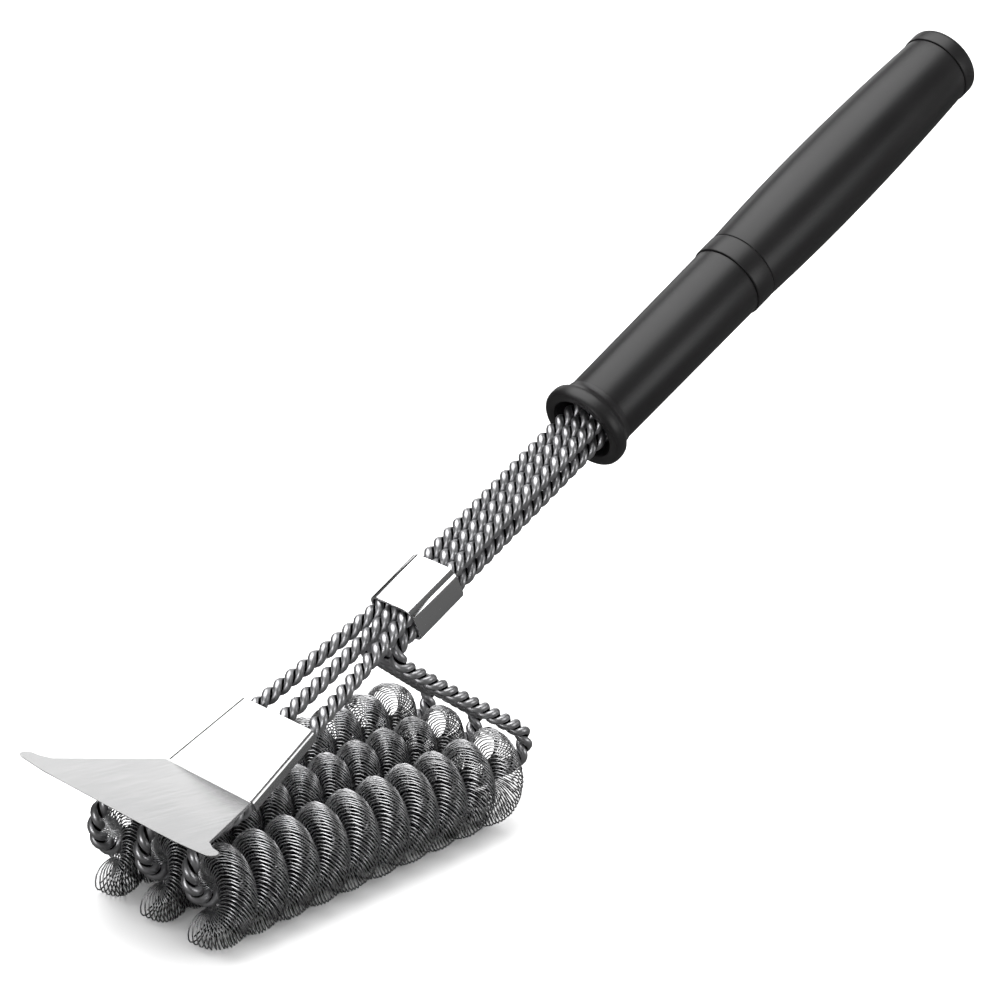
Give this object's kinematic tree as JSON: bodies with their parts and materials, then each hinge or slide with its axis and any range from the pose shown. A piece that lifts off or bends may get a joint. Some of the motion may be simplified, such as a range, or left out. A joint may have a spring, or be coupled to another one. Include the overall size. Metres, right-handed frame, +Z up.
{
  "type": "grill cleaning brush",
  "caption": "Bristle-free grill brush: coiled wire rows on twisted-wire loops, a folded steel scraper, a clamping collar and a round black handle.",
  "frame": {"origin": "middle of the bounding box at floor level, where the coiled rows rest", "axes": "+X from the scraper along the rows to the handle's end, +Y across the rows, +Z up"},
  "size_m": [0.433, 0.096, 0.2397],
  "materials": {
    "rope_steel": "drawn steel wire, twisted in pairs",
    "coil_steel": "bright fine spring wire",
    "scraper_steel": "satin sheet steel",
    "collar_steel": "polished sheet steel",
    "handle_black": "fine matte moulding",
    "insert_black": "plain moulding"
  },
  "bodies": {
    "root": {"rope_near": "rope_steel", "rope_middle": "rope_steel", "rope_far": "rope_steel", "coil_near": "coil_steel", "coil_middle": "coil_steel", "coil_far": "coil_steel", "scraper": "scraper_steel", "stem_collar": "collar_steel", "handle_bell": "handle_black", "handle_sleeve": "handle_black", "handle_ring": "handle_black", "handle_grip": "handle_black", "handle_cap": "handle_black", "handle_insert": "insert_black"}
  },
  "joints": []
}
